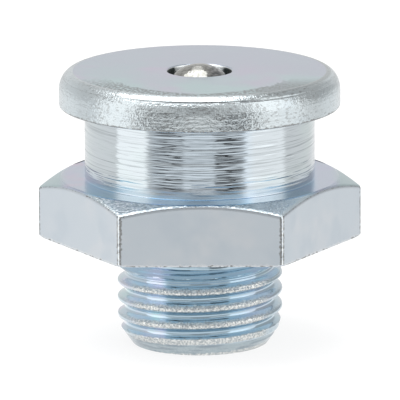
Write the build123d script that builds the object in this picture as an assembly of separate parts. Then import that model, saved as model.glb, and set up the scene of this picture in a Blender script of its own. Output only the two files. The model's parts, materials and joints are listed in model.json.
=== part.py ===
from build123d import *
from math import cos, radians, sqrt, tan
import os

# Button-head grease nipple in millimetres: a turned body, its check ball and the valve spring.
# +Z runs up the axis, from the thread to the head. The origin is the centre of the seat face,
# which is the underside of the hexagon. Two flats of the hexagon face +Y and -Y.

# Head, which the hook coupler of a grease gun slides over
head_diameter = 22.0
head_thickness = 2.7
head_rounding_width = 1.1  # of the upper rim, measured along the radius
head_rounding_height = 1.5  # and down the side
head_lower_edge_break = 0.15

# Neck, which the coupler's jaws reach round
neck_diameter = 18.0
neck_height = 5.7
neck_foot_fillet = 0.1

# Hexagon for a 22 mm spanner, with the bar's own undersize
hexagon_across_flats = 21.9
hexagon_height = 4.85
upper_chamfer_inset = 0.1  # from the flats in to the chamfer's circle
upper_chamfer_angle = 26.0  # degrees from the flat top
lower_chamfer_inset = 0.3  # from the corners in to the chamfer's circle
lower_chamfer_angle = 30.0

# Shank: a pipe thread of 19 turns to the inch, drawn as its crest cylinder
shank_length = 8.35
thread_crest_diameter = 12.95
thread_runout_angle = 45.0
end_chamfer_width = 1.125
end_chamfer_height = 1.2

# Relief groove between the thread and the seat face
relief_depth = 0.875
relief_length = 1.5
seat_clearance = 0.05  # the flat seat starts this far outside the thread's crest

# Ball valve: the ball closes the inlet hole from inside
ball_diameter = 6.0
seat_overlap = 0.5  # how far the ball's edge reaches past the inlet hole
inlet_depth = 0.8
inlet_edge_break = 0.12
drill_point_angle = 118.0
ball_side_clearance = 0.4
closing_clearance = 0.02  # between the ball and its seat at rest

# Compression spring with closed and ground ends
spring_wire_diameter = 0.5
spring_inset = 0.45  # how far the coil's outside lies inside the ball's edge
spring_active_turns = 5
spring_closed_turns = 1
closed_turn_gap = 0.02
ground_depth = 0.2  # how much of the wire's thickness is ground off at each end
spring_ball_clearance = 0.03

# Lip rolled in at the thread end, on which the spring stands
lip_reach = 0.8  # how far the lip reaches in under the coil, from the coil's outside
lip_thickness = 0.8
lip_edge_break = 0.15
lip_recess = 0.3
end_ring_width = 1.15  # of the flat end face round the recess

# Heights that follow from the sizes above
thread_end_z = -shank_length
hexagon_top_z = hexagon_height
head_underside_z = hexagon_top_z + neck_height
head_top_z = head_underside_z + head_thickness
lip_underside_z = thread_end_z + lip_recess
lip_top_z = lip_underside_z + lip_thickness

# Radii that follow
head_radius = head_diameter / 2
neck_radius = neck_diameter / 2
flat_radius = hexagon_across_flats / 2
corner_radius = flat_radius / cos(radians(30))
crest_radius = thread_crest_diameter / 2
relief_radius = crest_radius - relief_depth
end_face_radius = crest_radius - end_chamfer_width
recess_radius = end_face_radius - end_ring_width
ball_radius = ball_diameter / 2
inlet_radius = ball_radius - seat_overlap
chamber_radius = ball_radius + ball_side_clearance
wire_radius = spring_wire_diameter / 2
spring_outer_radius = ball_radius - spring_inset
spring_inner_radius = spring_outer_radius - spring_wire_diameter
outlet_radius = spring_outer_radius - lip_reach

# The ball meets the sharp lower edge of the inlet hole
seat_edge_z = head_top_z - inlet_depth
ball_to_edge = ball_radius + closing_clearance
ball_centre_z = seat_edge_z - sqrt(ball_to_edge**2 - inlet_radius**2)

# The inner edge of the spring's ground top end meets the ball
ball_to_spring = ball_radius + spring_ball_clearance
spring_top_z = ball_centre_z - sqrt(ball_to_spring**2 - spring_inner_radius**2)
spring_length = spring_top_z - lip_top_z


def turned(*edges):
    """Turn a closed outline, drawn as radius against height, about the Z axis."""
    return revolve(Plane.XZ * make_face(edges), axis=Axis.Z)


def head_and_neck():
    """The flat button head on its neck, with a small fillet at the foot of the neck."""
    foot_radius = neck_radius + neck_foot_fillet
    foot_top_z = hexagon_top_z + neck_foot_fillet
    edge_radius = head_radius - head_lower_edge_break
    edge_top_z = head_underside_z + head_lower_edge_break
    rim_radius = head_radius - head_rounding_width
    rim_z = head_top_z - head_rounding_height
    return turned(
        Line((0, hexagon_top_z), (foot_radius, hexagon_top_z)),
        CenterArc((foot_radius, foot_top_z), neck_foot_fillet, 270, -90),
        Polyline(
            (neck_radius, foot_top_z),
            (neck_radius, head_underside_z),
            (edge_radius, head_underside_z),
            (head_radius, edge_top_z),
            (head_radius, rim_z),
        ),
        EllipticalCenterArc((rim_radius, rim_z), head_rounding_width, head_rounding_height, 0, arc_size=90),
        Polyline((rim_radius, head_top_z), (0, head_top_z), (0, hexagon_top_z)),
    )


def chamfered_blank(chamfer_radius, angle):
    """A round blank that stands on Z = 0, its upper edge chamfered from chamfer_radius outwards."""
    blank_radius = 2 * chamfer_radius
    drop = (blank_radius - chamfer_radius) * tan(radians(angle))
    return turned(
        Polyline(
            (0, hexagon_height),
            (chamfer_radius, hexagon_height),
            (blank_radius, hexagon_height - drop),
            (blank_radius, -drop),
            (0, -drop),
            close=True,
        )
    )


def hexagon():
    """The spanner hexagon, cut from bar and chamfered on both faces."""
    prism = extrude(RegularPolygon(corner_radius, 6), hexagon_height)
    upper = chamfered_blank(flat_radius - upper_chamfer_inset, upper_chamfer_angle)
    lower = chamfered_blank(corner_radius - lower_chamfer_inset, lower_chamfer_angle)
    turned_over = Pos(0, 0, hexagon_height) * Rot(180, 0, 0) * lower
    return prism & upper & turned_over


def shank():
    """The threaded shank: end chamfer, relief groove and the hollow fillet up to the seat face."""
    seat_fillet = crest_radius + seat_clearance - relief_radius
    seat_radius = relief_radius + seat_fillet
    runout_height = relief_depth / tan(radians(thread_runout_angle))
    return turned(
        Polyline(
            (seat_radius, 0),
            (0, 0),
            (0, thread_end_z),
            (end_face_radius, thread_end_z),
            (crest_radius, thread_end_z + end_chamfer_height),
            (crest_radius, -relief_length - runout_height),
            (relief_radius, -relief_length),
            (relief_radius, -seat_fillet),
        ),
        CenterArc((seat_radius, -seat_fillet), seat_fillet, 180, -90),
    )


def valve_bore():
    """The space inside the body: inlet hole, seat, chamber for ball and spring, and outlet."""
    drill_point_height = (chamber_radius - inlet_radius) / tan(radians(drill_point_angle / 2))
    past_the_ends = 1
    return turned(
        Polyline(
            (0, head_top_z + past_the_ends),
            (inlet_radius + inlet_edge_break, head_top_z + past_the_ends),
            (inlet_radius + inlet_edge_break, head_top_z),
            (inlet_radius, head_top_z - inlet_edge_break),
            (inlet_radius, seat_edge_z),
            (chamber_radius, seat_edge_z - drill_point_height),
            (chamber_radius, lip_top_z),
            (outlet_radius + lip_edge_break, lip_top_z),
            (outlet_radius, lip_top_z - lip_edge_break),
            (outlet_radius, lip_underside_z + lip_edge_break),
            (outlet_radius + lip_edge_break, lip_underside_z),
            (recess_radius - lip_recess, lip_underside_z),
            (recess_radius, thread_end_z),
            (recess_radius, thread_end_z - past_the_ends),
            (0, thread_end_z - past_the_ends),
            close=True,
        )
    )


def nipple_body():
    """The whole turned body, one piece of steel."""
    return shank() + hexagon() + head_and_neck() - valve_bore()


def check_ball():
    """The ball, closed against the edge of the inlet hole."""
    return Pos(0, 0, ball_centre_z) * Sphere(ball_radius)


def coil(start_z, pitch, turns):
    """Round wire wound for a number of whole turns, its section kept in the plane of the axis."""
    coil_radius = spring_outer_radius - wire_radius
    path = Pos(0, 0, start_z) * Helix(pitch, pitch * turns, coil_radius)
    section = Plane((coil_radius, 0, start_z), x_dir=(1, 0, 0), z_dir=(0, 1, 0)) * Circle(wire_radius)
    return sweep(section, path, is_frenet=True)


def valve_spring():
    """The compression spring: a closed turn at each end, open turns between, ends ground flat."""
    closed_pitch = spring_wire_diameter + closed_turn_gap
    closed_height = closed_pitch * spring_closed_turns
    first_z = lip_top_z + wire_radius - ground_depth
    last_z = spring_top_z - wire_radius + ground_depth
    open_height = last_z - first_z - 2 * closed_height
    wound = (
        coil(first_z, closed_pitch, spring_closed_turns)
        + coil(first_z + closed_height, open_height / spring_active_turns, spring_active_turns)
        + coil(last_z - closed_height, closed_pitch, spring_closed_turns)
    )
    between_grinds = Pos(0, 0, lip_top_z + spring_length / 2) * Cylinder(2 * spring_outer_radius, spring_length)
    return wound & between_grinds


pieces = {
    "nipple_body": nipple_body(),
    "check_ball": check_ball(),
    "valve_spring": valve_spring(),
}

os.makedirs("parts", exist_ok=True)
for name, piece in pieces.items():
    export_step(piece, f"parts/{name}.step")
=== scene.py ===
"""A button-head grease nipple: zinc plated body with its thread cut, check ball and wound valve spring."""

import json
import math

import bpy
import numpy as np
from mathutils import Euler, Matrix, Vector


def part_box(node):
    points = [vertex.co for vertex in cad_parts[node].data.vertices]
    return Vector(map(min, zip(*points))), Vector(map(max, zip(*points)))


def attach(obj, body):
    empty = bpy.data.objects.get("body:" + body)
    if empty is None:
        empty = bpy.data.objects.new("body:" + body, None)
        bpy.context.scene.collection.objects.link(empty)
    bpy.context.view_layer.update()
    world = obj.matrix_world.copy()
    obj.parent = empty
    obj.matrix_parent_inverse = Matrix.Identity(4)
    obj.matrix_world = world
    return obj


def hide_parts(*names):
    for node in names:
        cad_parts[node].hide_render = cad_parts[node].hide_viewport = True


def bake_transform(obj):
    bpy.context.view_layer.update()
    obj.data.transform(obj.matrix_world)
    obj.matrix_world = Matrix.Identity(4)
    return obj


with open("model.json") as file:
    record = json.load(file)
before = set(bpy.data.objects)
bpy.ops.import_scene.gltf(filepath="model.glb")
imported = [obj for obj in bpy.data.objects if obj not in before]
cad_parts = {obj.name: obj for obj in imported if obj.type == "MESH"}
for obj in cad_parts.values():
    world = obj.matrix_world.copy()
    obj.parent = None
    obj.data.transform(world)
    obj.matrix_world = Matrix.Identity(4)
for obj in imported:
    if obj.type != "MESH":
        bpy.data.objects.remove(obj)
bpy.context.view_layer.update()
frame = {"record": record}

MM = 0.001
TURN = 2 * math.pi

# Heights and radii that the solids give, in metres
body_low, body_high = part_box("nipple_body")
ball_low, ball_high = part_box("check_ball")
spring_low, spring_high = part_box("valve_spring")
mounts = {mount["name"]: mount for mount in frame["record"]["mounts"]}
THREAD_END = body_low.z
HEAD_TOP = body_high.z
CREST_RADIUS = mounts["thread"]["dims"]["r_mm"] * MM
NECK_RADIUS = mounts["coupler_groove"]["dims"]["r_mm"] * MM
FLAT_RADIUS = mounts["hexagon"]["dims"]["r_mm"] * MM
HEXAGON_TOP = mounts["hexagon"]["dims"]["length_mm"] * MM
HEAD_UNDERSIDE = HEXAGON_TOP + mounts["coupler_groove"]["dims"]["length_mm"] * MM
HEAD_RADIUS = body_high.y
BALL_RADIUS = (ball_high.z - ball_low.z) / 2
BALL_CENTRE = (ball_high.z + ball_low.z) / 2
SPRING_RADIUS = spring_high.x
LIP_TOP = spring_low.z

# Head
RIM_WIDTH = 1.1 * MM
RIM_HEIGHT = 1.5 * MM
HEAD_LOWER_EASE = 0.16 * MM
TOOL_STEP = HEAD_TOP - 0.41 * MM

# Neck and hexagon
FOOT_FILLET = 0.05 * MM
HEXAGON_SIDES = 6
UPPER_CHAMFER_RADIUS = FLAT_RADIUS - 0.1 * MM
UPPER_CHAMFER_SLOPE = math.tan(math.radians(26))
LOWER_CHAMFER_RADIUS = FLAT_RADIUS / math.cos(math.radians(30)) - 0.3 * MM
LOWER_CHAMFER_SLOPE = math.tan(math.radians(30))
HEXAGON_CORNER_EASE = 0.24 * MM
UPPER_EDGE_EASE = 0.26 * MM
LOWER_EDGE_EASE = 0.03 * MM
LOWER_BREAK_RISE = 0.02 * MM  # where the lower chamfer doesn't reach, the edge is only broken
LOWER_BREAK_WIDTH = 0.03 * MM

# Shank
RELIEF_RADIUS = CREST_RADIUS - 0.875 * MM
RELIEF_LENGTH = 1.5 * MM
SEAT_FILLET = 0.925 * MM
END_FACE_RADIUS = CREST_RADIUS - 1.125 * MM
END_CHAMFER_HEIGHT = 1.2 * MM
THREAD_PITCH = 1.337 * MM
THREAD_CREST_ROUNDING = 0.25 * MM
THREAD_ROOT_ROUNDING = 0.3 * MM
THREAD_FLANK_ANGLE = math.radians(27.5)
FIRST_CREST = THREAD_END + 0.22 * MM
LEAD_START = THREAD_END + 2.35 * MM
LEAD_DROP = 0.28 * MM
RUNOUT_DEPTH = 0.03 * MM
TEAR_DEPTH = 0.03 * MM
NECK_GROOVE_DEPTH = 0.03 * MM

# Bore
INLET_RADIUS = BALL_RADIUS - 0.5 * MM
INLET_DEPTH = 0.8 * MM
INLET_EASE = 0.2 * MM
CHAMBER_RADIUS = BALL_RADIUS + 0.4 * MM
DRILL_POINT_HEIGHT = (CHAMBER_RADIUS - INLET_RADIUS) / math.tan(math.radians(59))
OUTLET_RADIUS = SPRING_RADIUS - 0.8 * MM
LIP_RECESS = 0.3 * MM
LIP_EASE = 0.16 * MM
RECESS_RADIUS = END_FACE_RADIUS - 1.15 * MM

# Spring
WIRE_DIAMETER = 0.5 * MM
OPEN_TURNS = 5
CLOSED_TURNS = 1
CLOSED_PITCH = 0.52 * MM
GROUND_DEPTH = 0.2 * MM
RINGS_PER_TURN = 80
SIDES_OF_WIRE = 20

# Dark grey for burrs, and for painted shade and painted dark reflection along edges
BURR_AND_PAINTED_SHADE_COLOUR = (0.3, 0.31, 0.31)
FINISHES = (
    "bore",
    "inlet",
    "head_face",
    "head_side",
    "neck",
    "hexagon_top",
    "hexagon_flat",
    "seat",
    "thread",
    "end_face",
)


# ---------------------------------------------------------------- node wiring


class Wire:
    """A socket of a node tree, so that sums of fields can be written as sums."""

    def __init__(self, tree, socket):
        self.tree = tree
        self.socket = socket

    def math(self, operation, *others):
        node = self.tree.nodes.new("ShaderNodeMath")
        node.operation = operation
        for slot, value in zip(node.inputs, (self, *others)):
            plug(self.tree, value, slot)
        return Wire(self.tree, node.outputs[0])

    def __add__(self, other):
        return self.math("ADD", other)

    def __sub__(self, other):
        return self.math("SUBTRACT", other)

    def __mul__(self, other):
        return self.math("MULTIPLY", other)

    def __truediv__(self, other):
        return self.math("DIVIDE", other)

    def __pow__(self, other):
        return self.math("POWER", other)

    def __lt__(self, other):
        return self.math("LESS_THAN", other)

    def __gt__(self, other):
        return self.math("GREATER_THAN", other)

    def least(self, other):
        return self.math("MINIMUM", other)

    def most(self, other):
        return self.math("MAXIMUM", other)

    def root(self):
        """The square root, where anything below zero counts as zero."""
        return self.most(0.0).math("SQRT")

    def size(self):
        """The value without its sign."""
        return self.math("ABSOLUTE")


def plug(tree, value, slot):
    """Link a wire to a slot, or set the slot to a plain value."""
    if isinstance(value, Wire):
        tree.links.new(value.socket, slot)
    else:
        slot.default_value = value


def add_node(tree, kind, inputs=None, **settings):
    """Add a node, set its properties, and plug its inputs by name or number."""
    node = tree.nodes.new(kind)
    for name, value in settings.items():
        setattr(node, name, value)
    for name, value in (inputs or {}).items():
        plug(tree, value, node.inputs[name])
    return node


def output(tree, node, name=0):
    """One of a node's outputs, by name or number, as a wire."""
    return Wire(tree, node.outputs[name])


def ramp(tree, value, low, high, to_low=0.0, to_high=1.0):
    """A smooth step of a value, from to_low at low to to_high at high."""
    node = add_node(tree, "ShaderNodeMapRange", interpolation_type="SMOOTHSTEP")
    for slot, number in zip(node.inputs, (value, low, high, to_low, to_high)):
        plug(tree, number, slot)
    return output(tree, node)


def vector(tree, x, y, z):
    """Three wires or numbers joined into one vector."""
    return output(tree, add_node(tree, "ShaderNodeCombineXYZ", {0: x, 1: y, 2: z}))


def axes_of(tree, place):
    """The three parts of a vector."""
    split = add_node(tree, "ShaderNodeSeparateXYZ", {0: place})
    return [output(tree, split, axis) for axis in range(3)]


def from_axis(x, y):
    """The distance from the axis of the part."""
    return (x * x + y * y).root()


def noise(tree, place, scale, detail=2.0, roughness=0.5):
    """Noise around zero, between minus and plus a half, with scale cells to the metre."""
    inputs = {"Vector": place, "Scale": scale, "Detail": detail, "Roughness": roughness}
    return output(tree, add_node(tree, "ShaderNodeTexNoise", inputs)) - 0.5


def streaks(tree, x, y, z, across, along, detail=1.0, roughness=0.5):
    """Noise whose cells are drawn out: so many to the metre across the axis, and so many along it."""
    return noise(tree, vector(tree, x * across, y * across, z * along), 1.0, detail, roughness)


def tool_rings(tree, radius, across):
    """Noise in rings round the axis, as a facing tool leaves them, so many to the metre."""
    return noise(tree, vector(tree, radius * across, 0.0, 0.0), 1.0, 2.0)


# ---------------------------------------------------------------- the turned body


def column_angles():
    """Angles round the axis: even steps, with closer ones by each corner of the hexagon."""
    sector = 360 / HEXAGON_SIDES
    first_even = 1.67
    near_corner = [0.13, 0.28, 0.44, 0.62]
    even = list(np.linspace(first_even, sector - first_even, 31))
    steps = [0.0] + near_corner + even + [sector - step for step in near_corner[::-1]]
    return [math.radians(sector * corner + step) for corner in range(HEXAGON_SIDES) for step in steps]


def hexagon_reach(angle):
    """How far the hexagon reaches from the axis at an angle, with its corners eased."""
    sixth = TURN / HEXAGON_SIDES
    off_corner = abs((angle + sixth / 2) % sixth - sixth / 2)
    flat = FLAT_RADIUS / math.cos(sixth / 2 - off_corner)
    ease_centre = (FLAT_RADIUS - HEXAGON_CORNER_EASE) / math.cos(sixth / 2)
    across = ease_centre * math.sin(off_corner)
    if across >= HEXAGON_CORNER_EASE:
        return flat
    eased = ease_centre * math.cos(off_corner) + math.sqrt(HEXAGON_CORNER_EASE**2 - across**2)
    return min(flat, eased)


class Outline:
    """Half a section through the body: points of radius and height, each with the finish that follows it."""

    def __init__(self, radius, height):
        self.points = [(radius, height)]
        self.finishes = []

    def line(self, radius, height, steps, finish):
        """A straight cut, with one more point close by each end so that its shading stays flat."""
        start = np.array(self.points[-1])
        end = np.array((radius, height))
        length = np.linalg.norm(end - start)
        shares = list(np.linspace(0, 1, steps + 1))[1:]
        if steps > 1:
            close_by = 0.04 * MM
            support = min(close_by / length, 0.3 / steps)
            shares = [support] + shares[:-1] + [1 - support, 1.0]
        for share in shares:
            self.points.append(tuple(start + share * (end - start)))
            self.finishes.append(finish)

    def arc(self, centre, radii, start, sweep, steps, finish):
        """An arc of a circle or ellipse, in degrees from the outward direction."""
        for step in range(1, steps + 1):
            angle = math.radians(start + sweep * step / steps)
            radius = centre[0] + radii[0] * math.cos(angle)
            height = centre[1] + radii[1] * math.sin(angle)
            self.points.append((radius, height))
            self.finishes.append(finish)

    def eased(self, corner, toward, ease, steps, before, after):
        """A straight cut to an eased corner, which leaves towards another point."""
        start = np.array(self.points[-1])
        here = np.array(corner)
        back = (start - here) / np.linalg.norm(start - here)
        onward = (np.array(toward) - here) / np.linalg.norm(np.array(toward) - here)
        self.line(*(here + ease * back), steps, before)
        bends = 4
        for step in range(1, bends + 1):
            share = step / bends
            point = here + ease * ((1 - share) ** 2 * back + share**2 * onward)
            self.points.append(tuple(point))
            self.finishes.append(before if share <= 0.5 else after)


def body_outline(reach):
    """The section of the body in a column whose hexagon reaches that far from the axis."""
    rim = (HEAD_RADIUS - RIM_WIDTH, HEAD_TOP - RIM_HEIGHT)
    head_edge = (HEAD_RADIUS, HEAD_UNDERSIDE)
    neck_top = (NECK_RADIUS, HEAD_UNDERSIDE)
    foot = (NECK_RADIUS + FOOT_FILLET, HEXAGON_TOP + FOOT_FILLET)
    ring_edge = UPPER_CHAMFER_RADIUS - 0.05 * MM
    upper_edge = (reach, HEXAGON_TOP - max(reach - UPPER_CHAMFER_RADIUS, 0) * UPPER_CHAMFER_SLOPE)
    lower_edge = (reach, max(reach - LOWER_CHAMFER_RADIUS, LOWER_BREAK_RISE) * LOWER_CHAMFER_SLOPE)
    seat_corner = (min(reach - LOWER_BREAK_WIDTH, LOWER_CHAMFER_RADIUS), 0.0)
    seat_start = RELIEF_RADIUS + SEAT_FILLET
    runout = -RELIEF_LENGTH - (CREST_RADIUS - RELIEF_RADIUS)
    chamfer_top = THREAD_END + END_CHAMFER_HEIGHT
    lip_underside = THREAD_END + LIP_RECESS
    drill_point_foot = HEAD_TOP - INLET_DEPTH - DRILL_POINT_HEIGHT

    # From the foot of the inlet over the head, down the outside, and back up the bore
    cut = Outline(INLET_RADIUS, HEAD_TOP - INLET_DEPTH)
    cut.eased((INLET_RADIUS, HEAD_TOP), (rim[0], HEAD_TOP), INLET_EASE, 2, "inlet", "head_face")
    cut.line(rim[0], HEAD_TOP, 12, "head_face")
    cut.arc(rim, (RIM_WIDTH, RIM_HEIGHT), 90, -90, 20, "head_side")
    cut.eased(head_edge, neck_top, HEAD_LOWER_EASE, 12, "head_side", "seat")
    cut.line(NECK_RADIUS, HEAD_UNDERSIDE, 4, "seat")
    cut.line(NECK_RADIUS, foot[1], 84, "neck")
    cut.arc(foot, (FOOT_FILLET, FOOT_FILLET), 180, 90, 4, "hexagon_top")
    cut.line(ring_edge, HEXAGON_TOP, 3, "hexagon_top")
    cut.eased(upper_edge, (reach, 0), UPPER_EDGE_EASE, 3, "hexagon_top", "hexagon_flat")
    cut.eased(lower_edge, seat_corner, LOWER_EDGE_EASE, 8, "hexagon_flat", "seat")
    cut.line(*seat_corner, 1, "seat")
    cut.line(seat_start, 0.0, 6, "seat")
    cut.arc((seat_start, -SEAT_FILLET), (SEAT_FILLET, SEAT_FILLET), 90, 90, 8, "thread")
    cut.line(RELIEF_RADIUS, -RELIEF_LENGTH, 8, "thread")
    cut.line(CREST_RADIUS, runout, 18, "thread")
    cut.line(CREST_RADIUS, LEAD_START, 78, "thread")
    cut.line(CREST_RADIUS - LEAD_DROP, chamfer_top, 24, "thread")
    cut.line(END_FACE_RADIUS, THREAD_END, 24, "thread")
    cut.line(RECESS_RADIUS, THREAD_END, 3, "end_face")
    cut.line(RECESS_RADIUS - LIP_RECESS, lip_underside, 2, "end_face")
    cut.eased((OUTLET_RADIUS, lip_underside), (OUTLET_RADIUS, LIP_TOP), LIP_EASE, 3, "end_face", "bore")
    cut.eased((OUTLET_RADIUS, LIP_TOP), (CHAMBER_RADIUS, LIP_TOP), LIP_EASE, 1, "bore", "bore")
    cut.line(CHAMBER_RADIUS, LIP_TOP, 3, "bore")
    cut.line(CHAMBER_RADIUS, drill_point_foot, 12, "bore")
    cut.line(INLET_RADIUS, HEAD_TOP - INLET_DEPTH, 3, "bore")
    return cut


def blank_body():
    """The body as bored and turned, before its thread is cut: one closed skin of columns and rings."""
    angles = column_angles()
    outlines = [body_outline(hexagon_reach(angle)) for angle in angles]
    ring = len(outlines[0].points) - 1
    points = []
    for angle, cut in zip(angles, outlines):
        for radius, height in cut.points[:ring]:
            points.append((radius * math.cos(angle), radius * math.sin(angle), height))
    faces, finishes = [], []
    for column in range(len(angles)):
        here = column * ring
        beside = (column + 1) % len(angles) * ring
        for row in range(ring):
            below = (row + 1) % ring
            faces.append((here + row, here + below, beside + below, beside + row))
            finishes.append(FINISHES.index(outlines[0].finishes[row]))
    mesh = bpy.data.meshes.new("turned_body")
    mesh.from_pydata(points, [], faces)
    mesh.attributes.new("finish", "INT", "FACE").data.foreach_set("value", finishes)
    mesh.shade_smooth()
    piece = bpy.data.objects.new("turned_body", mesh)
    bpy.context.scene.collection.objects.link(piece)
    return piece


def new_tree(name, sizes):
    """A geometry tree with a named input for each size."""
    tree = bpy.data.node_groups.new(name, "GeometryNodeTree")
    tree.interface.new_socket("Geometry", in_out="INPUT", socket_type="NodeSocketGeometry")
    for label, value in sizes.items():
        kind = "NodeSocketInt" if isinstance(value, int) else "NodeSocketFloat"
        tree.interface.new_socket(label, in_out="INPUT", socket_type=kind)
    tree.interface.new_socket("Geometry", in_out="OUTPUT", socket_type="NodeSocketGeometry")
    start = add_node(tree, "NodeGroupInput")
    end = add_node(tree, "NodeGroupOutput")
    fields = {label: output(tree, start, label) for label in sizes}
    return tree, output(tree, start, "Geometry"), fields, end


def run_tree(piece, tree, sizes):
    """Put a piece through a geometry tree and keep the result as its plain mesh."""
    modifier = piece.modifiers.new(tree.name, "NODES")
    modifier.node_group = tree
    for item in tree.interface.items_tree:
        if item.in_out == "INPUT" and item.name in sizes:
            modifier[item.identifier] = sizes[item.name]
    graph = bpy.context.evaluated_depsgraph_get()
    mesh = bpy.data.meshes.new_from_object(piece.evaluated_get(graph), depsgraph=graph)
    piece.modifiers.clear()
    piece.data = mesh
    mesh.name = piece.name
    return piece


def has_finish(tree, name):
    """A selection of the faces with the named finish."""
    node = add_node(tree, "GeometryNodeInputNamedAttribute", {"Name": "finish"}, data_type="INT")
    return (output(tree, node) - float(FINISHES.index(name))).size() < 0.5


def pushed_out(tree, skin, finish, outward, distance):
    """The skin with the faces of one finish moved outwards by a distance."""
    move = add_node(tree, "ShaderNodeVectorMath", {0: outward}, operation="SCALE")
    plug(tree, distance, move.inputs["Scale"])
    inputs = {"Geometry": skin, "Selection": has_finish(tree, finish), "Offset": output(tree, move)}
    return output(tree, add_node(tree, "GeometryNodeSetPosition", inputs))


def marked(tree, skin, name, value):
    """The skin with a value kept at each point, for its finish to read."""
    inputs = {"Geometry": skin, "Name": name, "Value": value}
    node = add_node(tree, "GeometryNodeStoreNamedAttribute", inputs, data_type="FLOAT", domain="POINT")
    return output(tree, node)


def thread_profile(field, phase):
    """Height from the crest cylinder, zero or less: a rounded crest, straight flanks and a rounded root."""
    pitch, tip, root = field["Pitch"], field["Crest Rounding"], field["Root Rounding"]
    half = pitch * 0.5
    from_crest = phase.math("PINGPONG", 0.5) * pitch
    from_root = half - from_crest
    along, across = math.cos(THREAD_FLANK_ANGLE), 1 - math.sin(THREAD_FLANK_ANGLE)
    crest = (tip**2.0 - from_crest**2.0).root() - tip
    flank = (tip * along - from_crest) / math.tan(THREAD_FLANK_ANGLE) - tip * across
    depth = (half - (tip + root) * along) / math.tan(THREAD_FLANK_ANGLE) + (tip + root) * across
    bottom = root - depth - (root**2.0 - from_root**2.0).root()
    on_crest = from_crest < tip * along
    in_root = from_root < root * along
    on_flank = (on_crest * -1.0 - in_root) + 1.0
    return on_crest * crest + in_root * bottom + on_flank * flank


def cut_thread_tree(sizes):
    """Cuts the right-hand pipe thread, tears its crests, and turns faint grooves round the neck."""
    tree, skin, field, end = new_tree("cut_thread", sizes)
    place = output(tree, add_node(tree, "GeometryNodeInputPosition"))
    x, y, z = axes_of(tree, place)
    radius = from_axis(x, y)
    turned = y.math("ARCTAN2", x) / TURN
    phase = (z - field["First Crest"]) / field["Pitch"] - turned
    ridge = field["Crest Radius"] + thread_profile(field, phase)

    # The cutter tears a band along each crest, most at the front and back and less at the two sides
    ragged = noise(tree, place, 3600.0, 3.0, 0.6)
    over_crest = ((phase + 0.5).math("FRACT") - 0.5) * field["Pitch"] + ragged * 0.3 * MM
    torn = ramp(tree, over_crest, -0.27 * MM, -0.2 * MM) * ramp(tree, over_crest, 0.31 * MM, 0.25 * MM)
    torn = torn * ramp(tree, z, -2.1 * MM, -2.6 * MM) * ramp(tree, x.size(), 5.7 * MM, 4.6 * MM, 0.25, 1.0)
    torn = torn.most(ramp(tree, z, THREAD_END + 1.0 * MM, THREAD_END + 0.6 * MM) * 0.15)
    ridge = ridge + ragged * torn * field["Tear Depth"]

    # Its last passes leave shallow waves in the run-out
    last_passes = ramp(tree, z, -3.3 * MM, -2.9 * MM) * ramp(tree, z, -1.35 * MM, -1.7 * MM)
    last_passes = last_passes * ((phase * (4 * TURN)).math("SINE") + 1.0) * field["Runout Depth"]
    below_seat = z < -0.4 * MM
    cut = (radius.least(ridge) - radius - last_passes) * below_seat

    outward = vector(tree, x / radius, y / radius, 0.0)
    shaped = pushed_out(tree, skin, "thread", outward, cut)
    shaped = marked(tree, shaped, "torn", torn)
    under = (over_crest < -0.22 * MM) * (over_crest > -0.42 * MM) * (z < -2.4 * MM)
    shaped = marked(tree, shaped, "under", under)
    grooves = streaks(tree, x, y, z, 30.0, 2600.0, 2.0, 0.7) * field["Groove Depth"]
    shaped = pushed_out(tree, shaped, "neck", outward, grooves)

    result = output(tree, add_node(tree, "GeometryNodeRealizeInstances", {0: shaped}))
    for name in FINISHES:
        inputs = {"Geometry": result, "Selection": has_finish(tree, name), "Material": materials[name]}
        result = output(tree, add_node(tree, "GeometryNodeSetMaterial", inputs))
    plug(tree, result, end.inputs[0])
    return tree


def nipple_body():
    """The whole body, threaded, in one skin."""
    sizes = {
        "Crest Radius": CREST_RADIUS,
        "Pitch": THREAD_PITCH,
        "Crest Rounding": THREAD_CREST_ROUNDING,
        "Root Rounding": THREAD_ROOT_ROUNDING,
        "First Crest": FIRST_CREST,
        "Runout Depth": RUNOUT_DEPTH,
        "Tear Depth": TEAR_DEPTH,
        "Groove Depth": NECK_GROOVE_DEPTH,
    }
    piece = run_tree(blank_body(), cut_thread_tree(sizes), sizes)
    piece.data.set_sharp_from_angle(angle=math.radians(38))
    return piece


# ---------------------------------------------------------------- ball and spring


def check_ball():
    """The ball, as a cube of fine faces pressed onto a sphere, so that it has no poles."""
    steps = 40
    ticks = [math.tan(t) for t in np.linspace(-math.pi / 4, math.pi / 4, steps + 1)]
    points, faces, found = [], [], {}

    def corner(direction):
        key = tuple(round(value, 6) for value in direction)
        if key not in found:
            found[key] = len(points)
            unit = Vector(direction).normalized()
            points.append(unit * BALL_RADIUS + Vector((0, 0, BALL_CENTRE)))
        return found[key]

    for axis in range(3):
        for side in (-1, 1):
            for i in range(steps):
                for j in range(steps):
                    quad = []
                    for u, v in ((i, j), (i + 1, j), (i + 1, j + 1), (i, j + 1)):
                        direction = [0, 0, 0]
                        direction[axis] = side
                        direction[(axis + 1) % 3] = ticks[u]
                        direction[(axis + 2) % 3] = ticks[v]
                        quad.append(corner(direction))
                    faces.append(quad if side > 0 else quad[::-1])
    mesh = bpy.data.meshes.new("hardened_ball")
    mesh.from_pydata(points, [], faces)
    mesh.shade_smooth()
    mesh.materials.append(materials["ball"])
    piece = bpy.data.objects.new("hardened_ball", mesh)
    bpy.context.scene.collection.objects.link(piece)
    return piece


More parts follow.
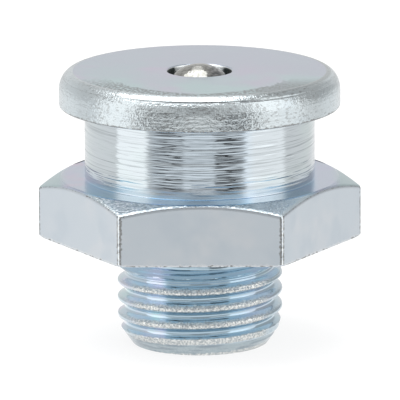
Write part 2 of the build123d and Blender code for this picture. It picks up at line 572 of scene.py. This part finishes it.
def wind_spring_tree(sizes):
    """Winds round wire: a closed turn, open turns and a closed turn, then grinds both ends flat."""
    tree, _, field, end = new_tree("wind_spring", sizes)
    wire, pitch = field["Wire Diameter"], field["Closed Pitch"]
    closed, opened = field["Closed Turns"], field["Open Turns"]
    first = field["Bottom"] + wire * 0.5 - field["Ground Depth"]
    last = field["Top"] - wire * 0.5 + field["Ground Depth"]
    open_rise = (last - first - pitch * closed * 2.0) / opened
    turns = opened + closed * 2.0
    rings = (OPEN_TURNS + 2 * CLOSED_TURNS) * RINGS_PER_TURN + 1

    straight = add_node(tree, "GeometryNodeCurvePrimitiveLine")
    fine = add_node(tree, "GeometryNodeResampleCurve", {"Curve": output(tree, straight), "Count": rings})
    along = output(tree, add_node(tree, "GeometryNodeSplineParameter"), "Factor") * turns
    height = first + along.least(closed) * pitch
    height = height + (along - closed).most(0.0).least(opened) * open_rise
    height = height + (along - closed - opened).most(0.0) * pitch
    angle = along * TURN
    coil = field["Coil Radius"]
    place = vector(tree, angle.math("COSINE") * coil, angle.math("SINE") * coil, height)
    wound = add_node(tree, "GeometryNodeSetPosition", {"Geometry": output(tree, fine), "Position": place})
    section = add_node(
        tree,
        "GeometryNodeCurvePrimitiveCircle",
        {"Resolution": SIDES_OF_WIRE, "Radius": wire * 0.5},
    )
    tube = add_node(
        tree,
        "GeometryNodeCurveToMesh",
        {"Curve": output(tree, wound), "Profile Curve": output(tree, section), "Fill Caps": True},
    )
    x, y, z = axes_of(tree, output(tree, add_node(tree, "GeometryNodeInputPosition")))
    ground = vector(tree, x, y, z.most(field["Bottom"]).least(field["Top"]))
    flat = add_node(tree, "GeometryNodeSetPosition", {"Geometry": output(tree, tube), "Position": ground})
    smooth = add_node(tree, "GeometryNodeSetShadeSmooth", {"Geometry": output(tree, flat)})
    real = add_node(tree, "GeometryNodeRealizeInstances", {0: output(tree, smooth)})
    inputs = {"Geometry": output(tree, real), "Material": materials["spring"]}
    finished = add_node(tree, "GeometryNodeSetMaterial", inputs)
    plug(tree, output(tree, finished), end.inputs[0])
    return tree


def valve_spring():
    """The wound spring between the lip and the ball."""
    sizes = {
        "Wire Diameter": WIRE_DIAMETER,
        "Coil Radius": SPRING_RADIUS - WIRE_DIAMETER / 2,
        "Closed Pitch": CLOSED_PITCH,
        "Closed Turns": CLOSED_TURNS,
        "Open Turns": OPEN_TURNS,
        "Ground Depth": GROUND_DEPTH,
        "Bottom": spring_low.z,
        "Top": spring_high.z,
    }
    piece = bpy.data.objects.new("wound_spring", bpy.data.meshes.new("wound_spring"))
    bpy.context.scene.collection.objects.link(piece)
    run_tree(piece, wind_spring_tree(sizes), sizes)
    piece.data.set_sharp_from_angle(angle=math.radians(40))
    return piece


# ---------------------------------------------------------------- finishes


def new_metal(name, roughness):
    """A bare or plated metal: its material, tree, shader, object coordinates and their three axes."""
    material = bpy.data.materials.new(name)
    material.use_nodes = True
    tree = material.node_tree
    shader = tree.nodes["Principled BSDF"]
    shader.inputs["Metallic"].default_value = 1.0
    shader.inputs["Roughness"].default_value = roughness
    place = output(tree, add_node(tree, "ShaderNodeTexCoord"), "Object")
    return material, tree, shader, place, axes_of(tree, place)


def tinted(tree, place, base, tints, scale):
    """Slow drifts of tint over a base colour, as a thin passivation film has."""
    colour = base
    for number, tint in enumerate(tints):
        spot = add_node(tree, "ShaderNodeMapping", {"Vector": place})
        spot.inputs["Location"].default_value = (0.013 * number, 0.007 * number, 0.003 * number)
        amount = ramp(tree, noise(tree, output(tree, spot), scale, 2.0, 0.5), -0.05, 0.18)
        colour = blend(tree, amount, colour, tint)
    return colour


def coloured(tree, shader, colour):
    """Gives the surface its colour."""
    plug(tree, colour, shader.inputs["Base Color"])


def bumped(tree, shader, height):
    """Gives the surface a fine relief, whose height is in metres."""
    bump = add_node(tree, "ShaderNodeBump", {"Height": height, "Strength": 1.0, "Distance": 1.0})
    plug(tree, output(tree, bump), shader.inputs["Normal"])


def blend(tree, amount, low, high):
    """A colour between two others."""
    mix = add_node(tree, "ShaderNodeMix", data_type="RGBA")
    plug(tree, amount, mix.inputs["Factor"])
    for slot, colour in (("A", low), ("B", high)):
        plug(tree, colour if isinstance(colour, Wire) else (*colour, 1), mix.inputs[slot])
    return output(tree, mix, "Result")


def hexagon_depths(x, y):
    """How far a point lies inside the nearest flat's plane, and along that flat from its nearest corner."""
    sine, cosine = math.sin(math.radians(30)), math.cos(math.radians(30))
    first = y.size()
    second = (x * cosine + y * sine).size()
    third = (x * cosine - y * sine).size()
    largest = first.most(second).most(third)
    smallest = first.least(second).least(third)
    middle = first + second + third - largest - smallest
    return (largest * -1.0) + FLAT_RADIUS, (largest - middle) / cosine


def inlet_finish():
    """The drilled inlet: pale where it is plated, with painted shade in its two side corners."""
    material, tree, shader, place, (x, y, z) = new_metal("plated_inlet", 0.45)
    # Painted shade: dark towards the two side corners of the inlet, near its top.
    painted_corner_shade = ramp(tree, x.size() + noise(tree, place, 2600.0) * 0.4 * MM, 1.75 * MM, 2.05 * MM)
    painted_corner_shade = painted_corner_shade * ramp(tree, z, HEAD_TOP - 0.03 * MM, HEAD_TOP - 0.12 * MM)
    coloured(tree, shader, blend(tree, painted_corner_shade, (0.86, 0.89, 0.9), (0.05, 0.06, 0.06)))
    bumped(tree, shader, streaks(tree, x, y, z, 300.0, 6000.0) * 0.02 * MM)
    return material


def head_face_finish():
    """The faced top of the head: smooth, lavender to pale blue, with a painted dark reflection, broken into
    pits, in a band by its front edge.
    """
    material, tree, shader, place, (x, y, _) = new_metal("plated_head_face", 0.2)
    radius = from_axis(x, y)
    colour = tinted(tree, place, (0.48, 0.57, 0.63), ((0.56, 0.52, 0.65), (0.47, 0.62, 0.64)), 170.0)
    lavender = ramp(tree, y + x * 0.35, -2.5 * MM, 4.0 * MM) * 0.7
    colour = blend(tree, lavender, colour, (0.51, 0.525, 0.63))

    # Painted dark reflection: a ragged band by the front edge of the face, broken into pits, and whole on the
    # right.
    front = ramp(tree, y, -2.5 * MM, -6.5 * MM)
    right = ramp(tree, x, 3.0 * MM, 5.0 * MM)
    sides = ramp(tree, x.size(), 3.0 * MM, 6.0 * MM)
    pits = ramp(tree, noise(tree, vector(tree, x * 4200.0, y * 2400.0, 0.0), 1.0, 1.0), -0.2, 0.1)
    pits = pits.most(right * 0.75)
    ragged = noise(tree, vector(tree, x * 2200.0, y * 900.0, 0.0), 1.0, 1.0) * sides
    inside = radius + x.size() * 0.2 + ragged * 1.6 * MM
    band = ramp(tree, inside, HEAD_RADIUS - 2.0 * MM, HEAD_RADIUS - 1.7 * MM)
    colour = blend(tree, band * front * pits, colour, (0.18, 0.22, 0.23))
    coloured(tree, shader, colour)

    rings = tool_rings(tree, radius, 6000.0)
    grain = noise(tree, place, 5000.0, 2.0)
    bumped(tree, shader, (rings * 0.6 + grain * 0.4) * 0.0015 * MM)
    return material


def head_side_finish():
    """The side of the head: smooth where it rounds over, a step from the tool whose groove holds a dark line
    that is partly tarnish and partly painted shade, pits under the plating, and a dark lower edge that is
    partly burr and partly painted shade.
    """
    material, tree, shader, place, (x, y, z) = new_metal("plated_head_side", 0.12)
    sideways = x.size()
    from_step = (z - TOOL_STEP).size()
    colour = tinted(tree, place, (0.595, 0.65, 0.67), ((0.57, 0.63, 0.66),), 300.0)
    colour = blend(tree, ramp(tree, sideways, 8.8 * MM, 10.2 * MM), colour, (0.65, 0.72, 0.75))
    freckles = ramp(tree, streaks(tree, x, y, z, 2600.0, 5600.0), 0.02, 0.2)
    freckles = freckles * ramp(tree, sideways, 9.6 * MM, 7.4 * MM, 0.3, 1.0)
    colour = blend(tree, freckles, colour, (0.42, 0.45, 0.46))
    # A dark line along the lower edge of the head: partly a burr, partly painted shade under the head.
    burr_and_shade = z - HEAD_UNDERSIDE + noise(tree, place, 3600.0, 2.0) * 0.4 * MM
    colour = blend(tree, ramp(tree, burr_and_shade, 0.18 * MM, 0.1 * MM), colour, BURR_AND_PAINTED_SHADE_COLOUR)
    # The dark line in the tool step's groove: partly tarnish, partly painted shade, strongest at the front
    # and back and broken by noise.
    broken = ramp(tree, streaks(tree, x, y, z, 900.0, 3000.0), -0.15, 0.1, 0.5, 1.0)
    groove_tarnish_and_shade = ramp(tree, from_step, 0.1 * MM, 0.06 * MM) * broken
    groove_tarnish_and_shade = groove_tarnish_and_shade * ramp(tree, sideways, 6.2 * MM, 3.4 * MM, 0.1, 0.72)
    colour = blend(tree, groove_tarnish_and_shade, colour, (0.06, 0.065, 0.07))
    dulled = ramp(tree, z, HEAD_TOP - 0.14 * MM, HEAD_TOP - 0.04 * MM) * ramp(tree, x, 3.6 * MM, 5.0 * MM)
    colour = blend(tree, dulled * 0.8, colour, (0.38, 0.42, 0.43))
    coloured(tree, shader, colour)

    pits = streaks(tree, x, y, z, 2600.0, 6200.0) * 0.035 * MM
    lines = streaks(tree, x, y, z, 250.0, 4600.0) * 0.035 * MM
    graded = ramp(tree, z, HEAD_TOP - 0.35 * MM, HEAD_TOP - 1.0 * MM, 0.55, 1.0)
    grain = noise(tree, place, 8500.0, 1.0) * 0.024 * MM
    step = ramp(tree, from_step, 0.0, 0.09 * MM) * 0.045 * MM
    bumped(tree, shader, (pits + lines) * graded + grain + step)
    return material


def neck_finish():
    """The turned neck: the tool's lines all round it, broken into short dashes, above a smooth foot, which is
    painted bluer and paler as a reflection of the hexagon's top.
    """
    material, tree, shader, place, (x, y, z) = new_metal("plated_neck", 0.08)
    sideways = x.size()
    colour = tinted(tree, place, (0.59, 0.64, 0.67), ((0.58, 0.65, 0.66),), 200.0)
    colour = blend(tree, ramp(tree, sideways, 4.4 * MM, 3.4 * MM), colour, (0.575, 0.655, 0.72))
    scores = ramp(tree, streaks(tree, x, y, z, 60.0, 7000.0), 0.08, 0.2)
    colour = blend(tree, scores * 0.6, colour, (0.4, 0.44, 0.46))
    # Painted reflection of the hexagon's top: the foot bluer, most at the sides, and a painted pale highlight
    # low on its front.
    foot = ramp(tree, z, HEXAGON_TOP + 1.5 * MM, HEXAGON_TOP + 0.3 * MM)
    foot = foot * ramp(tree, sideways, 7.0 * MM, 8.6 * MM, 0.3, 0.9)
    colour = blend(tree, foot, colour, (0.6, 0.68, 0.77))
    front_foot = ramp(tree, z, HEXAGON_TOP + 0.65 * MM, HEXAGON_TOP + 0.4 * MM)
    front_foot = front_foot * ramp(tree, sideways, 4.6 * MM, 3.6 * MM)
    colour = blend(tree, front_foot, colour, (0.7, 0.78, 0.83))
    coloured(tree, shader, colour)

    roughness = ramp(tree, z, HEXAGON_TOP + 0.5 * MM, HEXAGON_TOP + 0.9 * MM, 0.22, 0.08)
    plug(tree, roughness, shader.inputs["Roughness"])
    waves = streaks(tree, x, y, z, 15.0, 1100.0) * 0.05 * MM
    lines = streaks(tree, x, y, z, 30.0, 5800.0) * 0.03 * MM
    dashes = streaks(tree, x, y, z, 330.0, 4800.0) * 0.062 * MM
    turned = ramp(tree, z, HEXAGON_TOP + 0.35 * MM, HEXAGON_TOP + 0.95 * MM, 0.25, 1.0)
    bumped(tree, shader, (waves + lines + dashes) * turned)
    return material


def hexagon_top_finish():
    """The top of the hexagon: a smooth blue ring, bluer at the front partly as a painted reflection of the
    neck, with painted pale streaks of reflected light, and a pale, coarser chamfer round it, lightened partly
    as a painted reflection.
    """
    material, tree, shader, place, (x, y, z) = new_metal("plated_hexagon_top", 0.2)
    sideways = x.size()
    radius = from_axis(x, y)
    # Blue at the front and lavender to the sides: partly the film's tints, partly a painted reflection of the
    # neck in the front of the ring.
    blue = tinted(tree, place, (0.39, 0.565, 0.735), ((0.39, 0.59, 0.73), (0.43, 0.545, 0.735)), 190.0)
    lavender = tinted(tree, place, (0.51, 0.57, 0.68), ((0.6, 0.53, 0.65), (0.52, 0.55, 0.69)), 260.0)
    colour = blend(tree, ramp(tree, sideways, 8.4 * MM, 9.4 * MM), blue, lavender)
    colour = blend(tree, ramp(tree, sideways, 10.2 * MM, 11.2 * MM), colour, (0.49, 0.6, 0.62))
    # Painted reflection: pale streaks at each side of the middle, where the bright panels reflect.
    painted_streak = ramp(tree, sideways, 3.5 * MM, 4.3 * MM) * ramp(tree, sideways, 6.9 * MM, 6.2 * MM)
    colour = blend(tree, painted_streak * 0.7, colour, (0.72, 0.76, 0.8))

    # On the front of the chamfer: coarse turning, its speckle made paler as a painted reflection of the light
    # above.
    chamfer = ramp(tree, z, HEXAGON_TOP - 0.01 * MM, HEXAGON_TOP - 0.08 * MM)
    front = ramp(tree, sideways, 9.6 * MM, 7.8 * MM)
    torn = noise(tree, vector(tree, radius * 9000.0, x * 4200.0, y * 4200.0), 1.0, 1.0)
    torn = blend(tree, ramp(tree, torn, -0.15, 0.2), (0.32, 0.37, 0.39), (0.8, 0.82, 0.82))
    cut = blend(tree, ramp(tree, x, 3.0 * MM, 4.6 * MM), torn, (0.7, 0.79, 0.83))
    colour = blend(tree, chamfer * front * 0.85, colour, cut)
    coloured(tree, shader, colour)

    plug(tree, chamfer * 0.14 + 0.16, shader.inputs["Roughness"])
    rings = noise(tree, vector(tree, radius * 5200.0, x * 60.0, y * 60.0), 1.0, 1.0) * 0.012 * MM
    grain = noise(tree, place, 6200.0, 1.0) * 0.035 * front * MM
    to_flat, _ = hexagon_depths(x, y)
    lip = ramp(tree, to_flat, 0.0, 0.14 * MM) * 0.03 * MM
    bumped(tree, shader, rings + grain * chamfer - lip)
    return material


def hexagon_flat_finish():
    """The drawn flats of the bar: even and satin, with a painted highlight along their corners, and ragged at
    the edges, where a dark line is partly burr and partly painted dark reflection.
    """
    material, tree, shader, place, (x, y, z) = new_metal("plated_hexagon_flat", 0.2)
    colour = tinted(tree, place, (0.615, 0.67, 0.72), ((0.65, 0.69, 0.73), (0.585, 0.645, 0.7)), 320.0)
    chamfer_z = (from_axis(x, y) - UPPER_CHAMFER_RADIUS) * -UPPER_CHAMFER_SLOPE + HEXAGON_TOP
    _, to_corner = hexagon_depths(x, y)
    ragged = noise(tree, place, 4200.0, 2.0) * MM
    # Painted highlight: a pale line along each corner, broken up by noise.
    highlight_breaks = ramp(tree, noise(tree, place, 3300.0, 1.0), -0.12, 0.12, 0.25, 1.0)
    painted_corner_highlight = ramp(tree, to_corner, 0.12 * MM, 0.07 * MM) * highlight_breaks
    colour = blend(tree, painted_corner_highlight, colour, (0.82, 0.85, 0.85))
    # A dark ragged line along the top edge and beside each corner: partly a burr, partly painted dark
    # reflection of the eased edge.
    to_edge = (chamfer_z - z).least((to_corner - 0.17 * MM).size()) + ragged * 0.4
    colour = blend(tree, ramp(tree, to_edge, 0.1 * MM, 0.03 * MM), colour, BURR_AND_PAINTED_SHADE_COLOUR)
    pale_foot = ramp(tree, z + ragged * 0.4, 0.22 * MM, 0.12 * MM) * 0.45
    colour = blend(tree, pale_foot, colour, (0.85, 0.86, 0.86))
    sheared = ramp(tree, noise(tree, place, 2300.0, 1.0), -0.1, 0.12)
    lower_burr = ramp(tree, z + ragged * 0.5, 0.12 * MM, 0.04 * MM) * sheared
    colour = blend(tree, lower_burr, colour, BURR_AND_PAINTED_SHADE_COLOUR)
    coloured(tree, shader, colour)

    grain = noise(tree, place, 4200.0, 3.0, 0.6)
    drawn = streaks(tree, x, y, z, 2500.0, 120.0, 2.0)
    bumped(tree, shader, (grain * 0.6 + drawn * 0.4) * 0.003 * MM)
    return material


def seat_finish():
    """The underside of the head and the seat face, plainly turned."""
    material, tree, shader, place, (x, y, _) = new_metal("plated_seat", 0.25)
    coloured(tree, shader, tinted(tree, place, (0.53, 0.6, 0.66), ((0.52, 0.57, 0.66),), 200.0))
    bumped(tree, shader, tool_rings(tree, from_axis(x, y), 4200.0) * 0.008 * MM)
    return material


def thread_finish():
    """The cut thread: smooth blue flanks and roots, darker from the middle rightwards as a painted
    reflection, and crests torn pale by the cutter.
    """
    material, tree, shader, place, (x, y, z) = new_metal("plated_thread", 0.16)
    torn = output(tree, add_node(tree, "ShaderNodeAttribute", attribute_name="torn"), "Fac")
    under = output(tree, add_node(tree, "ShaderNodeAttribute", attribute_name="under"), "Fac")
    smooth = tinted(tree, place, (0.53, 0.65, 0.74), ((0.53, 0.7, 0.72), (0.6, 0.63, 0.75)), 330.0)
    # Painted dark reflection: the flanks darker from the middle towards the right.
    painted_dark_reflection = ramp(tree, x, -3.2 * MM, -2.5 * MM) * ramp(tree, x, 4.6 * MM, 2.4 * MM, 0.55, 1.0)
    smooth = blend(tree, painted_dark_reflection, smooth, (0.43, 0.56, 0.65))
    colour = blend(tree, under * 0.4, smooth, (0.75, 0.8, 0.83))
    faced = ramp(tree, streaks(tree, x, y, z, 500.0, 4200.0), -0.12, 0.12)
    faced = blend(tree, faced, (0.3, 0.36, 0.41), (0.42, 0.5, 0.54))
    end_chamfer = ramp(tree, z, THREAD_END + 1.15 * MM, THREAD_END + 0.85 * MM)
    colour = blend(tree, end_chamfer, colour, faced)
    speckle = ramp(tree, noise(tree, place, 6200.0, 1.0), -0.2, 0.2)
    speckle = blend(tree, speckle, (0.44, 0.48, 0.5), (0.8, 0.81, 0.79))
    coloured(tree, shader, blend(tree, torn, colour, speckle))

    plug(tree, torn.most(under * 0.6) * 0.2 + 0.06, shader.inputs["Roughness"])
    relief = ramp(tree, z, -2.6 * MM, -2.1 * MM)
    grain = noise(tree, place, 5600.0, 1.0) * 0.1 * MM
    film = noise(tree, place, 1600.0, 1.0) * 0.006 * MM
    turned = streaks(tree, x, y, z, 120.0, 5200.0) * 0.03 * MM
    bumped(tree, shader, grain * torn + film + turned * (relief + 0.1))
    return material


def end_face_finish():
    """The end face and its rolled lip, smooth from the rolling tool."""
    material, tree, shader, place, (x, y, _) = new_metal("plated_end_face", 0.25)
    coloured(tree, shader, tinted(tree, place, (0.52, 0.59, 0.64), ((0.55, 0.57, 0.64),), 220.0))
    bumped(tree, shader, tool_rings(tree, from_axis(x, y), 5000.0) * 0.004 * MM)
    return material


def bore_finish():
    """The drilled inside, where little plating reaches."""
    material, tree, shader, place, (x, y, z) = new_metal("bored_steel", 0.35)
    coloured(tree, shader, tinted(tree, place, (0.3, 0.31, 0.32), ((0.22, 0.22, 0.22),), 400.0))
    bumped(tree, shader, streaks(tree, x, y, z, 200.0, 5000.0, 2.0) * 0.01 * MM)
    return material


def ball_finish():
    """Hardened steel, polished, with fine rolling marks, and darker towards its right side."""
    material, tree, shader, place, (x, _, _) = new_metal("hardened_steel", 0.1)
    speckle = ramp(tree, noise(tree, place, 3800.0, 1.0), -0.2, 0.2)
    # The ball's colours darken towards the right.
    graded = ramp(tree, x, 0.4 * MM, 1.2 * MM)
    pale = blend(tree, graded, (0.42, 0.42, 0.4), (0.4, 0.4, 0.4))
    dark = blend(tree, graded, (0.26, 0.26, 0.24), (0.12, 0.13, 0.13))
    coloured(tree, shader, blend(tree, speckle, dark, pale))
    bumped(tree, shader, noise(tree, place, 5000.0, 1.0) * 0.012 * MM)
    return material


def spring_finish():
    """Drawn spring wire."""
    material, tree, shader, place, _ = new_metal("spring_wire", 0.3)
    coloured(tree, shader, tinted(tree, place, (0.36, 0.36, 0.37), ((0.28, 0.27, 0.26),), 900.0))
    bumped(tree, shader, noise(tree, place, 6000.0, 2.0) * 0.004 * MM)
    return material


materials = {
    "inlet": inlet_finish(),
    "head_face": head_face_finish(),
    "head_side": head_side_finish(),
    "neck": neck_finish(),
    "hexagon_top": hexagon_top_finish(),
    "hexagon_flat": hexagon_flat_finish(),
    "seat": seat_finish(),
    "thread": thread_finish(),
    "end_face": end_face_finish(),
    "bore": bore_finish(),
    "ball": ball_finish(),
    "spring": spring_finish(),
}


# ---------------------------------------------------------------- studio


def lit(light, level, *masks):
    """Lays a panel of light or shade of that level over what is there, where all its masks meet."""
    mask = masks[0]
    for other in masks[1:]:
        mask = mask * other
    return light + (mask * level - light * mask)


def studio_world():
    """A pale backdrop, softboxes overhead and at both sides, and dark flags beside a pale card in front."""
    world = bpy.data.worlds.new("studio")
    bpy.context.scene.world = world
    world.use_nodes = True
    tree = world.node_tree
    tree.nodes.clear()
    x, y, z = axes_of(tree, output(tree, add_node(tree, "ShaderNodeTexCoord"), "Generated"))
    across = x.math("ARCTAN2", y * -1.0) * (360 / TURN)
    up = z.math("ARCSINE") * (360 / TURN)

    def within(value, low, high, soft):
        """One between low and high, and nothing outside, with soft edges."""
        return ramp(tree, value, low - soft, low + soft) * ramp(tree, value, high + soft, high - soft)

    # The backdrop, which dims upwards behind the part and towards the floor in front of it
    behind = ramp(tree, across.size(), 150.0, 162.0)
    low_side = ramp(tree, across, -20.0, 20.0, 0.93, 0.7)
    backdrop = ramp(tree, up, 20.0, 32.0, 1.0, 0.82) * behind
    backdrop = backdrop + ramp(tree, up, -11.0, 8.0, 1.2, low_side) * (behind * -1.0 + 1.0)

    # Where each panel hangs: degrees round the part, with its front at 0, and degrees up
    front = within(across, -54, 44, 2)
    middle = within(across, -16, 14, 4)
    flags = within(across, -48, 43, 8)
    card = within(across, -17, 15, 1.5)
    left = within(across, -91, -55, 2)
    right = within(across, 46, 94, 2)
    # The overhead panel, and a wedge behind it that narrows towards the back
    narrowing = y * -1.0 + 1.0
    wedge = ramp(tree, x + narrowing * 0.6, -0.02, 0.02) * ramp(tree, x - narrowing * 0.22, 0.02, -0.02)
    overhead = ramp(tree, z - x * 0.13 - y * 0.04, 0.81, 0.85) * ramp(tree, y, -0.49, -0.43)
    panels = (
        (1.2, ramp(tree, up, -8.0, -12.0)),
        (0.95, front),
        (1.25, front, ramp(tree, up, -20.0, -26.0)),
        (0.46, middle, ramp(tree, up, 45.0, 30.0)),
        (0.8, middle, within(up, 6, 16, 3)),
        (ramp(tree, across, -20.0, 20.0, 0.56, 0.28), flags, within(up, -17.5, -7, 2.5)),
        (0.05, flags, within(up, -7, 1, 2)),
        (0.93, card, within(up, -60, 0, 3)),
        (1.3, card, within(up, -60, -18, 3)),
        (1.75, left, ramp(tree, up, 66.0, 56.0)),
        (1.45, left, ramp(tree, up, -18.0, -24.0)),
        (1.8, within(across, -78, -55, 6), within(up, 4, 56, 5)),
        (1.52, right, ramp(tree, up, 68.0, 58.0)),
        (1.3, within(across, 46, 90, 2), ramp(tree, up, -18.0, -24.0)),
        (1.9, within(across, 46, 80, 6), within(up, 4, 52, 5)),
        (1.8, wedge, ramp(tree, z, 0.5, 0.56), ramp(tree, y, 0.0, 0.1)),
        (4.0, within(x, -0.57, 0.26, 0.05), overhead),
    )
    light = backdrop
    for level, *masks in panels:
        light = lit(light, level, *masks)
    light = light * (within(across, 96, 150, 6) * -0.07 + 1.0)

    seen = output(tree, add_node(tree, "ShaderNodeLightPath"), "Is Camera Ray")
    strength = light * (seen * -1.0 + 1.0) + seen
    background = add_node(tree, "ShaderNodeBackground", {"Strength": strength})
    result = add_node(tree, "ShaderNodeOutputWorld")
    tree.links.new(background.outputs[0], result.inputs[0])


def studio_floor():
    """A pale floor under the thread end, which keeps the part's shadow and shows no edge in the metal."""
    half = 3.0
    clear_from, clear_by = 30 * MM, 36 * MM
    corners = [(x, y, THREAD_END) for x, y in ((-half, -half), (half, -half), (half, half), (-half, half))]
    mesh = bpy.data.meshes.new("floor")
    mesh.from_pydata(corners, [], [(0, 1, 2, 3)])
    floor = bpy.data.objects.new("floor", mesh)
    bpy.context.scene.collection.objects.link(floor)
    material = bpy.data.materials.new("pale_floor")
    material.use_nodes = True
    shader = material.node_tree.nodes["Principled BSDF"]
    shader.inputs["Base Color"].default_value = (0.2, 0.2, 0.2, 1)
    shader.inputs["Roughness"].default_value = 0.9
    shader.inputs["Specular IOR Level"].default_value = 0.0
    shader.inputs["Emission Color"].default_value = (1, 1, 1, 1)
    shader.inputs["Emission Strength"].default_value = 0.83
    tree = material.node_tree
    place = output(tree, add_node(tree, "ShaderNodeTexCoord"), "Object")
    distance = output(tree, add_node(tree, "ShaderNodeVectorMath", {0: place}, operation="LENGTH"), "Value")
    reflected = output(tree, add_node(tree, "ShaderNodeLightPath"), "Is Glossy Ray")
    clear = reflected * ramp(tree, distance, clear_from, clear_by)
    through = add_node(tree, "ShaderNodeBsdfTransparent")
    mix = add_node(tree, "ShaderNodeMixShader", {0: clear})
    tree.links.new(shader.outputs[0], mix.inputs[1])
    tree.links.new(through.outputs[0], mix.inputs[2])
    tree.links.new(mix.outputs[0], tree.nodes["Material Output"].inputs[0])
    mesh.materials.append(material)


def studio_camera():
    """A long lens, a little above the part and square to a flat of the hexagon."""
    azimuth, elevation, roll = math.radians(-0.27), math.radians(12.53), math.radians(-0.11)
    target = Vector((0.016, 0, 2.876)) * MM
    distance = 600 * MM
    level = math.cos(elevation)
    back = Vector((math.sin(azimuth) * level, -math.cos(azimuth) * level, math.sin(elevation)))
    data = bpy.data.cameras.new("camera")
    data.sensor_width = 36
    data.lens = 689.3
    data.clip_start = 0.01
    data.clip_end = 20
    camera = bpy.data.objects.new("camera", data)
    bpy.context.scene.collection.objects.link(camera)
    turn = back.to_track_quat("Z", "Y").to_matrix().to_4x4()
    camera.matrix_world = turn @ Euler((0, 0, roll)).to_matrix().to_4x4()
    camera.location = target + distance * back
    bpy.context.scene.camera = camera


body = nipple_body()
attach(body, "fitting")
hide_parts("nipple_body")

ball = check_ball()
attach(ball, "ball")
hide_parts("check_ball")

spring = valve_spring()
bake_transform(spring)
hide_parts("valve_spring")

studio_world()
studio_floor()
studio_camera()
bpy.context.scene.view_settings.view_transform = "Standard"
